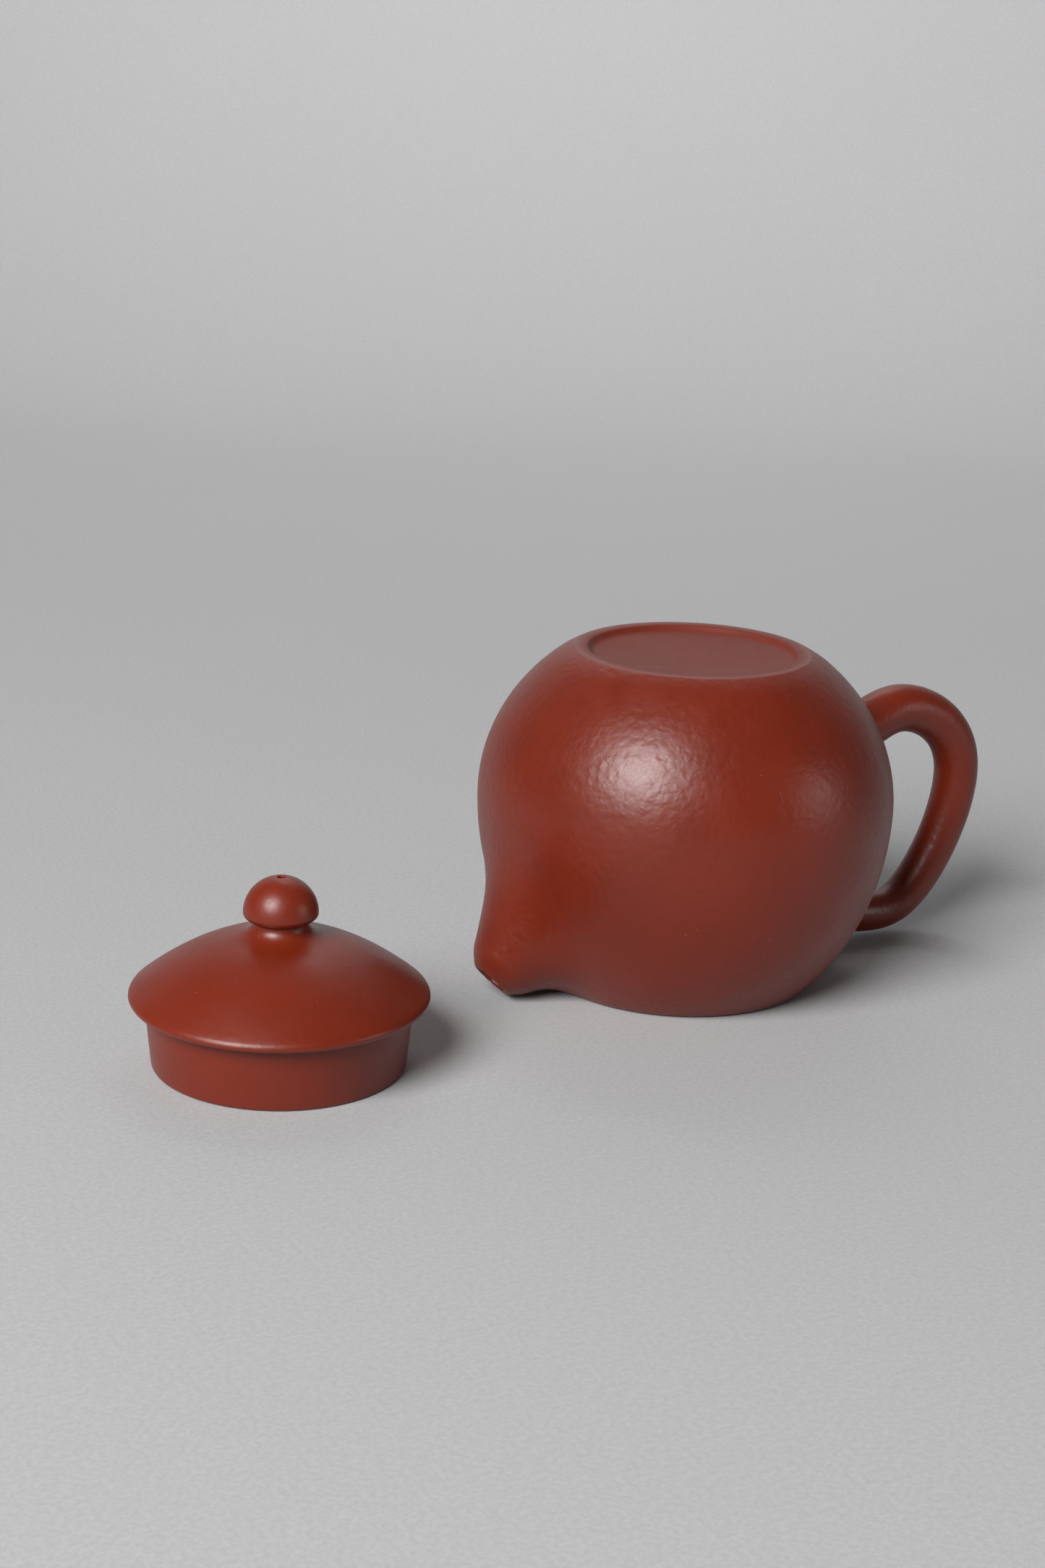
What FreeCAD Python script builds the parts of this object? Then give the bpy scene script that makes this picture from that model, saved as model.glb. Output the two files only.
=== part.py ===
"""Small red-clay teapot turned upside down on its mouth, with its lid standing beside it.

Millimetres, +Z up, z = 0 on the table. The pot's spout points to -X and its handle to +X. The pot
is modelled about its own axis and the lid about its own, and both are then moved so that the
origin is at the middle of the whole arrangement's footprint.
"""
import FreeCAD, Part
import math
import os

Vector = FreeCAD.Vector

# Pot body: two half ellipses that meet at the belly, heights counted from the mouth rim
BELLY_R = 40.0
BELLY_Z = 35.5
BODY_H = 64.6
MOUTH_R = 26.2
BASE_R = 23.9
WALL = 2.6

# Mouth: a flat land for the lid, and the collar inside it
LAND_W = 2.6
COLLAR_W = 2.8
COLLAR_H = 6.5
SHOULDER_H = 4.5

# Base: a flat foot ring with a rounded brow, round a pressed-in dish
FOOT_ROUND = 1.1
FOOT_W = 3.0
DISH_STEP = 1.4
DISH_SAG = 0.5
STEP_RUN = 0.9
FLOOR_T = 2.8
BASE_SEAM = 1.7

# Spout: a short hollow cone that flares into the body
SPOUT_REACH = 1.3
SPOUT_TIP_Z = 4.2
SPOUT_DIP = 43.0
SPOUT_TIP_R = 4.6
SPOUT_TIP_FLARE = 0.8
SPOUT_RUN = 20.0
SPOUT_ROOT_R = 17.2
SPOUT_BORE_R = 3.2
SPOUT_WALL = 2.6

# Strainer: holes drilled through the wall along the spout, one in the middle and a ring round it
STRAINER_HOLE_R = 1.3
STRAINER_RING_R = 4.0
STRAINER_RING_COUNT = 6

# Handle: an ear-shaped loop of round section, thickest at the base end. The control points of its
# middle line are counted out from the belly, and down from its high level or from its low level.
HANDLE_HIGH_Z = 51.7
HANDLE_LOW_Z = 5.2
HANDLE_BASE_R = 5.1
HANDLE_MOUTH_R = 3.65
HIGH_ROOT_IN = 9.0
HIGH_ROOT_DROP = 12.2
HIGH_NECK_OUT = 3.0
HIGH_NECK_DROP = 6.3
CREST_OUT = 9.5
BOW_OUT = 33.3
BOW_DROP = 13.0
HEEL_OUT = 16.0
HEEL_DROP = 4.2
LOW_NECK_OUT = 4.3
LOW_ROOT_IN = 15.0
LOW_ROOT_RISE = 3.3

# Lid: a domed plate with an overhanging rim, on a skirt that goes into the mouth
LID_OVERHANG = 0.3
LID_RIM_T = 0.5
DOME_H = 11.7
LID_T = 2.6
SKIRT_GAP = 0.25
SKIRT_H = 12.2
SKIRT_FIT_H = 3.0
SKIRT_TAPER = 0.9
SKIRT_T = 2.4
SKIRT_EDGE_R = 0.7

# Knob: a round button on a short waist, with the vent hole through it
KNOB_R = 6.6
KNOB_FOOT_R = 5.7
KNOB_WAIST_R = 4.7
KNOB_WAIST_H = 1.0
KNOB_WIDE_H = 3.4
KNOB_TOP_H = 6.5
VENT_R = 0.7

# Where the lid stands: clear of the belly on the spout's side, a little to the front
LID_STANDOFF = 23.1
LID_FRONT = 10.4

# Sizes that follow from those above
MOUTH_BORE_R = MOUTH_R - LAND_W
COLLAR_OUT_R = MOUTH_BORE_R + COLLAR_W
UPPER_B = BELLY_Z / math.sqrt(1.0 - (MOUTH_R / BELLY_R) ** 2)
LOWER_B = (BODY_H - BELLY_Z) / math.sqrt(1.0 - (BASE_R / BELLY_R) ** 2)
FLOOR_Z = BODY_H - DISH_STEP - DISH_SAG - FLOOR_T
LID_R = MOUTH_R + LID_OVERHANG
SKIRT_R = MOUTH_BORE_R - SKIRT_GAP
AXIS_Y = Vector(0, 1, 0)
AXIS_Z = Vector(0, 0, 1)


def point(r, z):
    """A point of a turned outline, in the XZ plane."""
    return Vector(r, 0, z)


def line(a, b):
    return Part.LineSegment(a, b).toShape()


def bezier(*poles):
    curve = Part.BezierCurve()
    curve.setPoles(list(poles))
    return curve.toShape()


def turned(edges):
    """The solid that a closed outline sweeps out when it turns about Z."""
    face = Part.Face(Part.Wire(Part.__sortEdges__(edges)))
    solid = face.revolve(Vector(0, 0, 0), AXIS_Z, 360)
    return solid if solid.Volume > 0 else solid.reversed()


def ellipse_arc(centre, r, half, a, b):
    """The stretch between two points of a quarter ellipse that goes from r out to half up or down."""
    side, end = centre + point(r, 0), centre + point(0, half)
    tall = abs(half) > r
    ellipse = Part.Ellipse(end, side, centre) if tall else Part.Ellipse(side, end, centre)
    turns = [ellipse.parameter(p) for p in (a, b)]
    turns = [t - 2 * math.pi if t > math.pi else t for t in turns]
    return Part.Arc(ellipse, min(turns), max(turns))


class Shell:
    """One skin of the pot's body: half ellipses above and below the belly, set in from the outside."""

    def __init__(self, inset):
        self.r = BELLY_R - inset
        self.upper_b = UPPER_B - inset
        self.lower_b = LOWER_B - inset

    def at_height(self, z):
        share = (z - BELLY_Z) / (self.upper_b if z < BELLY_Z else self.lower_b)
        return point(self.r * math.sqrt(1.0 - share * share), z)

    def at_radius(self, r, towards_base):
        rise = math.sqrt(1.0 - (r / self.r) ** 2)
        z = BELLY_Z + self.lower_b * rise if towards_base else BELLY_Z - self.upper_b * rise
        return point(r, z)

    def arc(self, a, b):
        """The stretch of the skin between two of its points on one side of the belly."""
        half = -self.upper_b if min(a.z, b.z) < BELLY_Z else self.lower_b
        return ellipse_arc(point(0, BELLY_Z), self.r, half, a, b).toBSpline().toShape()


OUTSIDE = Shell(0.0)
INSIDE = Shell(WALL)
BELLY_OUT = point(OUTSIDE.r, BELLY_Z)
BELLY_IN = point(INSIDE.r, BELLY_Z)
LID_RIM = point(LID_R, SKIRT_H + LID_RIM_T)

# Seams between the clay pieces: the shoulder's square to the wall, the base's at the inner corner
SHOULDER_OUT = OUTSIDE.at_height(SHOULDER_H)
SHOULDER_LEAN = (BELLY_Z - SHOULDER_H) / OUTSIDE.upper_b
SHOULDER_IN = INSIDE.at_height(BELLY_Z - INSIDE.upper_b * SHOULDER_LEAN)
BASE_OUT = OUTSIDE.at_radius(BASE_R + BASE_SEAM, True)
BASE_IN = INSIDE.at_height(FLOOR_Z)


def body_blank():
    """The whole body filled in, for cutting the spout and handle to its surface, seam to one side."""
    mouth, foot = OUTSIDE.at_height(0), OUTSIDE.at_height(BODY_H)
    blank = turned([
        OUTSIDE.arc(mouth, BELLY_OUT),
        OUTSIDE.arc(BELLY_OUT, foot),
        line(foot, point(0, BODY_H)),
        line(point(0, BODY_H), point(0, 0)),
        line(point(0, 0), mouth),
    ])
    blank.rotate(Vector(0, 0, 0), AXIS_Z, 90)
    return blank


def along_spout(shape):
    """Move a shape made about Z, tip at the origin, to the spout's axis."""
    shape.rotate(Vector(0, 0, 0), AXIS_Y, 90.0 - SPOUT_DIP)
    shape.translate(Vector(-BELLY_R - SPOUT_REACH, 0, SPOUT_TIP_Z))
    return shape


def strainer_holes():
    """Drills through the wall under the spout."""
    places = [(0.0, 0.0)]
    for i in range(STRAINER_RING_COUNT):
        turn = 2 * math.pi * i / STRAINER_RING_COUNT
        places.append((STRAINER_RING_R * math.cos(turn), STRAINER_RING_R * math.sin(turn)))
    drills = [Part.makeCylinder(STRAINER_HOLE_R, SPOUT_RUN, Vector(x, y, 0)) for x, y in places]
    return [along_spout(drill) for drill in drills]


def body_wall():
    wall = turned([
        OUTSIDE.arc(SHOULDER_OUT, BELLY_OUT),
        OUTSIDE.arc(BELLY_OUT, BASE_OUT),
        line(BASE_OUT, BASE_IN),
        INSIDE.arc(BASE_IN, BELLY_IN),
        INSIDE.arc(BELLY_IN, SHOULDER_IN),
        line(SHOULDER_IN, SHOULDER_OUT),
    ])
    return wall.cut(strainer_holes())


def base_disc():
    brow, corner = OUTSIDE.at_radius(BASE_R + FOOT_ROUND, True), OUTSIDE.at_height(BODY_H)
    foot_out = point(BASE_R - FOOT_ROUND, BODY_H)
    foot_in = point(foot_out.x - FOOT_W, BODY_H)
    step = point(foot_in.x - STEP_RUN, BODY_H - DISH_STEP)
    middle = point(0, step.z - DISH_SAG)
    return turned([
        line(point(0, FLOOR_Z), BASE_IN),
        line(BASE_IN, BASE_OUT),
        OUTSIDE.arc(BASE_OUT, brow),
        bezier(brow, corner, foot_out),
        line(foot_out, foot_in),
        line(foot_in, step),
        bezier(step, point(step.x / 2, middle.z), middle),
        line(middle, point(0, FLOOR_Z)),
    ])


def shoulder_ring():
    rim_out = OUTSIDE.at_radius(COLLAR_OUT_R, False)
    rim_in = INSIDE.at_radius(COLLAR_OUT_R, False)
    return turned([
        OUTSIDE.arc(rim_out, SHOULDER_OUT),
        line(SHOULDER_OUT, SHOULDER_IN),
        INSIDE.arc(SHOULDER_IN, rim_in),
        line(rim_in, rim_out),
    ])


def mouth_collar():
    rim = OUTSIDE.at_height(0)
    seam = OUTSIDE.at_radius(COLLAR_OUT_R, False)
    top_out, top_in = point(COLLAR_OUT_R, COLLAR_H), point(MOUTH_BORE_R, COLLAR_H)
    bottom_in = point(MOUTH_BORE_R, 0)
    return turned([
        line(bottom_in, rim),
        OUTSIDE.arc(rim, seam),
        line(seam, top_out),
        line(top_out, top_in),
        line(top_in, bottom_in),
    ])


def spout(blank):
    """A flaring cone with a bore, turned about its own axis and cut to the body's surface."""
    lip = (SPOUT_TIP_R - SPOUT_BORE_R) / 2
    tip_out, tip_in = point(SPOUT_TIP_R, lip), point(SPOUT_BORE_R, lip)
    lip_top = point(SPOUT_BORE_R + lip, 0)
    root_out = point(SPOUT_ROOT_R, SPOUT_RUN)
    root_in = point(SPOUT_ROOT_R - SPOUT_WALL, SPOUT_RUN)
    half = (SPOUT_RUN - lip) / 2
    swell = point(SPOUT_TIP_R + SPOUT_TIP_FLARE * half, lip + half)
    bore_swell = point(SPOUT_BORE_R + SPOUT_TIP_FLARE * half, lip + half)
    cone = turned([
        Part.Arc(tip_in, lip_top, tip_out).toShape(),
        bezier(tip_out, swell, root_out),
        line(root_out, root_in),
        bezier(root_in, bore_swell, tip_in),
    ])
    return along_spout(cone).cut(blank)


def handle_line():
    """The handle's middle line, drawn by its control points, from inside the wall and back into it."""
    poles = [
        (BELLY_R - HIGH_ROOT_IN, HANDLE_HIGH_Z - HIGH_ROOT_DROP),
        (BELLY_R + HIGH_NECK_OUT, HANDLE_HIGH_Z - HIGH_NECK_DROP),
        (BELLY_R + CREST_OUT, HANDLE_HIGH_Z),
        (BELLY_R + BOW_OUT, HANDLE_HIGH_Z - BOW_DROP),
        (BELLY_R + HEEL_OUT, HANDLE_LOW_Z - HEEL_DROP),
        (BELLY_R + LOW_NECK_OUT, HANDLE_LOW_Z),
        (BELLY_R - LOW_ROOT_IN, HANDLE_LOW_Z + LOW_ROOT_RISE),
    ]
    curve = Part.BSplineCurve()
    curve.buildFromPoles([point(r, z) for r, z in poles], False, 3)
    return curve


def handle_ring(curve, at, radius):
    """The handle's round section, square to its middle line."""
    ahead = Vector(*curve.tangent(at)[0])
    ring = Part.makeCircle(radius)
    turn = FreeCAD.Rotation(AXIS_Y, ahead.cross(AXIS_Y), ahead, "ZXY")
    ring.Placement = FreeCAD.Placement(curve.value(at), turn)
    return Part.Wire(ring)


def handle(blank):
    """A tapering sweep of the round section, cut to the body's surface."""
    curve = handle_line()
    sweep = Part.BRepOffsetAPI.MakePipeShell(Part.Wire(curve.toShape()))
    sweep.setBiNormalMode(AXIS_Y)
    sweep.add(handle_ring(curve, curve.FirstParameter, HANDLE_BASE_R))
    sweep.add(handle_ring(curve, curve.LastParameter, HANDLE_MOUTH_R))
    sweep.build()
    sweep.makeSolid()
    return sweep.shape().cut(blank)


def parabola(r_from, r_to, foot, rise):
    """Part of a dome's outline that stands at the point foot and climbs by rise to the axis."""
    def height(r):
        return foot.z + rise * (1.0 - (r / foot.x) ** 2)
    slope = -2.0 * rise * r_from / foot.x ** 2
    half = (r_to - r_from) / 2
    start = point(r_from, height(r_from))
    return bezier(start, point(r_from + half, start.z + slope * half), point(r_to, height(r_to)))


def lid_disc():
    hollow = point(SKIRT_R - SKIRT_T, SKIRT_H)
    top = parabola(VENT_R, LID_R, LID_RIM, DOME_H)
    under = parabola(VENT_R, hollow.x, hollow, LID_RIM_T + DOME_H - LID_T)
    flange = point(LID_R, SKIRT_H)
    return turned([
        top,
        line(LID_RIM, flange),
        line(flange, hollow),
        under,
        line(under.firstVertex().Point, top.firstVertex().Point),
    ])


def lid_skirt():
    top_out, top_in = point(SKIRT_R, SKIRT_H), point(SKIRT_R - SKIRT_T, SKIRT_H)
    fit_end = point(SKIRT_R, SKIRT_H - SKIRT_FIT_H)
    foot_r = SKIRT_R - SKIRT_TAPER
    edge = point(foot_r, SKIRT_EDGE_R)
    foot_out, foot_in = point(foot_r - SKIRT_EDGE_R, 0), point(foot_r - SKIRT_T, 0)
    return turned([
        line(top_in, top_out),
        line(top_out, fit_end),
        line(fit_end, edge),
        bezier(edge, point(foot_r, 0), foot_out),
        line(foot_out, foot_in),
        line(foot_in, top_in),
    ])


def knob():
    seat = parabola(VENT_R, KNOB_FOOT_R, LID_RIM, DOME_H)
    foot, vent_foot = seat.lastVertex().Point, seat.firstVertex().Point
    base = LID_RIM.z + DOME_H
    waist = point(KNOB_WAIST_R, base + KNOB_WAIST_H)
    widest = point(KNOB_R, base + KNOB_WIDE_H)
    top = point(VENT_R, widest.z + KNOB_TOP_H * math.sqrt(1.0 - (VENT_R / KNOB_R) ** 2))
    return turned([
        seat,
        bezier(foot, point(KNOB_WAIST_R, foot.z), waist),
        bezier(waist, point(KNOB_R, waist.z), widest),
        ellipse_arc(point(0, widest.z), KNOB_R, KNOB_TOP_H, widest, top).toShape(),
        line(top, vent_foot),
    ])


def main():
    blank = body_blank()
    pot = {
        "body_wall": body_wall(),
        "base_disc": base_disc(),
        "shoulder_ring": shoulder_ring(),
        "mouth_collar": mouth_collar(),
        "spout": spout(blank),
        "handle": handle(blank),
    }
    lid = {
        "lid_disc": lid_disc(),
        "lid_skirt": lid_skirt(),
        "knob": knob(),
    }
    for shape in lid.values():
        shape.translate(Vector(-(BELLY_R + LID_STANDOFF + LID_R), -LID_FRONT, 0))
    pieces = {**pot, **lid}
    box = Part.makeCompound(list(pieces.values())).optimalBoundingBox(False)
    middle = Vector(-(box.XMin + box.XMax) / 2, -(box.YMin + box.YMax) / 2, 0)
    os.makedirs("parts", exist_ok=True)
    for name, shape in pieces.items():
        solid = shape.Solids[0]
        solid.translate(middle)
        solid.exportStep("parts/" + name + ".step")
        print(name, len(shape.Solids), solid.isValid(), round(solid.Volume, 1))
    print("shift", round(middle.x, 3), round(middle.y, 3))


main()
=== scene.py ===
import math

import bmesh
import bpy
import numpy as np
from bpy.props import FloatProperty, FloatVectorProperty, IntProperty, PointerProperty
from bpy.types import Operator, Panel, PropertyGroup
from mathutils import Matrix, Vector


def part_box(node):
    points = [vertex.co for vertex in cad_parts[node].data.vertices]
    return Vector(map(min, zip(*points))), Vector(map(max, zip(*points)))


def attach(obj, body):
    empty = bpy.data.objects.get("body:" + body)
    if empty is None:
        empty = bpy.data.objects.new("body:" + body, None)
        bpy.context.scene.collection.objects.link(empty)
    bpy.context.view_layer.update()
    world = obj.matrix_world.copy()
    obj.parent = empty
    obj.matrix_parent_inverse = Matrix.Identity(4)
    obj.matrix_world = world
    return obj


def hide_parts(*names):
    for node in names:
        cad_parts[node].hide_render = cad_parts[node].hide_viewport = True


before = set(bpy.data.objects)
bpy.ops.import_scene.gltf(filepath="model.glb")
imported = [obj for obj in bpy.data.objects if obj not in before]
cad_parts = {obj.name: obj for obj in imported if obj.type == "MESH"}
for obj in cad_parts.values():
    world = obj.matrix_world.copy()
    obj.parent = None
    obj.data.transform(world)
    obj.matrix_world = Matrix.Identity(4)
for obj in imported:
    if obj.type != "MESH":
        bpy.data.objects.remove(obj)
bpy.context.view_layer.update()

bl_info = {
    "name": "Upturned clay teapot",
    "version": (1, 0, 0),
    "blender": (4, 5, 0),
    "location": "View3D > Sidebar > Teapot",
    "description": "Dresses a small red-clay teapot and its lid, and lights them on a grey sweep",
    "category": "Object",
}

MM = 0.001


def middle(node):
    """Where the axis of a turned piece stands on the table."""
    low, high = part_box(node)
    return (low.x + high.x) / 2, (low.y + high.y) / 2


def half_width(node):
    low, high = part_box(node)
    return (high.y - low.y) / 2


POT_AXIS = middle("base_disc")
LID_AXIS = middle("lid_disc")


def length(name, description, default):
    return FloatProperty(name=name, description=description, default=default, min=0.0,
                         unit="LENGTH", precision=5)


def ratio(name, description, default):
    return FloatProperty(name=name, description=description, default=default)


class PotSizes(PropertyGroup):
    """Sizes of the pot, heights counted up from the mouth rim on the table."""
    belly_r: length("Belly radius", "Widest radius of the body", half_width("body_wall"))
    belly_z: length("Belly height", "Height of the widest ring", 35.5 * MM)
    body_h: length("Body height", "Height of the foot ring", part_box("base_disc")[1].z)
    mouth_r: length("Mouth radius", "Outer radius of the mouth rim", 26.2 * MM)
    base_r: length("Base radius", "Radius where the wall would meet the foot", 23.1 * MM)
    wall: length("Wall", "Thickness of the clay", 2.6 * MM)
    mouth_bore_r: length("Mouth bore", "Radius of the mouth's bore", 23.6 * MM)
    collar_h: length("Collar height", "How far the mouth's collar goes in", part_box("mouth_collar")[1].z)
    floor_z: length("Inside floor", "Height of the base's inner face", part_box("base_disc")[0].z)
    base_seam_z: length("Base seam", "Height of the joint between wall and base", 62.4 * MM)
    foot_r: length("Foot radius", "Outer radius of the flat foot ring", 22.5 * MM)
    foot_rise: ratio("Foot edge", "How steeply the wall meets the foot ring", 0.5)
    foot_w: length("Foot ring", "Width of the flat foot ring", 2.45 * MM)
    dish_step: length("Dish step", "Depth of the step inside the foot ring", 1.2 * MM)
    step_run: length("Step run", "How far the step slopes inwards", 1.0 * MM)
    dish_sag: length("Dish sag", "How much the dish is hollowed", 0.5 * MM)
    spout_reach: length("Spout reach", "How far the spout's tip stands out past the belly", 1.7 * MM)
    spout_z: length("Spout height", "Height of the middle of the spout's tip", 3.6 * MM)
    spout_dip: FloatProperty(name="Spout dip", description="How steeply the upturned spout points down",
                             default=math.radians(43.0), subtype="ANGLE")
    spout_tip_r: length("Spout tip", "Outer radius of the spout's tip", 5.75 * MM)
    spout_root_r: length("Spout root", "Radius of the spout deep in the wall", 17.2 * MM)
    spout_run: length("Spout run", "Length from the tip to the root", 20.0 * MM)
    spout_flare: ratio("Spout flare", "How fast the spout widens at its tip", 0.5)
    spout_bore_r: length("Spout bore", "Radius of the hole at the tip", 3.4 * MM)
    spout_blend: length("Spout fillet", "Softness of the joint between spout and body", 12.0 * MM)
    strainer_hole_r: length("Strainer hole", "Radius of the holes under the spout", 1.3 * MM)
    strainer_ring_r: length("Strainer ring", "Radius of the ring of holes", 4.0 * MM)
    handle_base_r: length("Handle, base end", "Radius of the handle near the base", 5.1 * MM)
    handle_mouth_r: length("Handle, mouth end", "Radius of the handle near the mouth", 3.65 * MM)
    handle_blend: length("Handle fillet", "Softness of the joints between handle and body", 5.0 * MM)
    cell: length("Mesh cell", "Grain of the pot's mesh", 0.75 * MM)


class LidSizes(PropertyGroup):
    """Sizes of the lid, heights counted up from the table that its skirt stands on."""
    rim_r: length("Rim radius", "Outer radius of the lid", half_width("lid_disc"))
    skirt_h: length("Skirt height", "Height of the underside of the rim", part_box("lid_disc")[0].z)
    rim_t: length("Rim thickness", "Thickness of the lid at its edge", 1.1 * MM)
    dome_h: length("Dome height", "Rise of the lid from its rim", 11.1 * MM)
    plate_t: length("Plate thickness", "Thickness of the lid at its middle", 2.6 * MM)
    skirt_r: length("Skirt radius", "Outer radius of the skirt under the rim", half_width("lid_skirt"))
    skirt_fit_h: length("Fitting band", "Height of the skirt's straight band", 3.0 * MM)
    skirt_taper: length("Skirt taper", "How much the skirt narrows to its foot", 0.9 * MM)
    skirt_t: length("Skirt thickness", "Thickness of the skirt", 2.4 * MM)
    knob_r: length("Knob radius", "Widest radius of the knob", half_width("knob"))
    knob_foot_r: length("Knob foot", "Radius of the flare under the knob", 8.6 * MM)
    knob_waist_r: length("Knob waist", "Radius of the groove under the knob", 4.85 * MM)
    knob_waist_h: length("Waist height", "Height of the groove above the dome's top", 1.9 * MM)
    knob_wide_h: length("Knob middle", "Height of its widest ring above the dome's top", 3.4 * MM)
    knob_top_h: length("Knob crown", "Height of the crown above the widest ring", 6.5 * MM)
    vent_r: length("Vent", "Radius of the air hole through the knob", 0.7 * MM)
    steps: IntProperty(name="Turning steps", description="Facets round each turned piece",
                       default=192, min=24)


def colour(name, description, default):
    return FloatVectorProperty(name=name, description=description, default=default, size=4,
                               min=0.0, max=1.0, subtype="COLOR")


class ClayLook(PropertyGroup):
    """Colours and grain of the fired clay and of the grey sweep."""
    body: colour("Clay", "Main colour of the clay", (0.162, 0.0140, 0.0022, 1.0))
    warm: colour("Warm clay", "Where the firing ran redder", (0.187, 0.0168, 0.0026, 1.0))
    deep: colour("Deep clay", "Where the firing ran browner", (0.131, 0.0115, 0.0020, 1.0))
    speck: colour("Specks", "Sand grains in the clay", (0.40, 0.14, 0.055, 1.0))
    sweep: colour("Sweep", "Grey of the floor and backdrop", (0.475, 0.475, 0.48, 1.0))
    rough: FloatProperty(name="Roughness", description="Satin of the burnished clay",
                         default=0.35, min=0.0, max=1.0)
    peel: length("Peel size", "Width of the lumps left by burnishing", 1.4 * MM)


def settings():
    scene = bpy.context.scene
    return scene.teapot_pot, scene.teapot_lid, scene.teapot_look


def make_object(name, mesh):
    piece = bpy.data.objects.new(name, mesh)
    bpy.context.scene.collection.objects.link(piece)
    return piece


def dress(piece, body, *nodes):
    """Hang a finished piece on its body, in place of the plain solids it stands for."""
    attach(piece, body)
    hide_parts(*nodes)
    return piece


class Shader:
    """A material under construction: adds nodes and joins them."""

    def __init__(self, name):
        self.material = bpy.data.materials.new(name)
        self.material.use_nodes = True
        self.tree = self.material.node_tree
        self.tree.nodes.clear()

    def add(self, kind, settings=None, **inputs):
        node = self.tree.nodes.new(kind)
        for key, value in (settings or {}).items():
            setattr(node, key, value)
        for key, value in inputs.items():
            self.feed(node, key.replace("_", " "), value)
        return node

    def feed(self, node, key, value):
        socket = node.inputs[int(key[1:])] if key[0] == "#" else node.inputs[key]
        if isinstance(value, bpy.types.NodeSocket):
            self.tree.links.new(value, socket)
        else:
            socket.default_value = value

    def math(self, operation, a, b=0.0):
        node = self.add("ShaderNodeMath", {"operation": operation})
        self.feed(node, "#0", a)
        self.feed(node, "#1", b)
        return node.outputs[0]

    def span(self, value, low, high, to_low=0.0, to_high=1.0):
        node = self.add("ShaderNodeMapRange", {"interpolation_type": "SMOOTHSTEP"})
        keys = ("Value", "From Min", "From Max", "To Min", "To Max")
        for key, given in zip(keys, (value, low, high, to_low, to_high)):
            self.feed(node, key, given)
        return node.outputs["Result"]

    def mix(self, factor, a, b):
        node = self.add("ShaderNodeMix", {"data_type": "RGBA"})
        self.feed(node, "#0", factor)
        self.feed(node, "#6", a)
        self.feed(node, "#7", b)
        return node.outputs[2]


# Widths of the clay's features.
DRIFT_SIZE = 38 * MM
CLOUD_SIZE = 9 * MM
SAND_SIZE = 1.5 * MM
PIT_SIZE = 0.42 * MM
GRAIN_SIZE = 0.33 * MM
# How far the burnished lumps and the fine grain stand out.
PEEL_HEIGHT = 0.08 * MM
GRAIN_HEIGHT = 0.012 * MM
PIT_COLOUR = (0.085, 0.012, 0.006, 1.0)
# Of all grains, those above this share show as pale specks.
SAND_HIDDEN = 0.93
# Unburnished clay: rougher by this much, with this share of the lumps, and a soft border.
DRY_ROUGH = 0.22
DRY_PEEL = 0.35
DRY_FADE = 1.2 * MM


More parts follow.
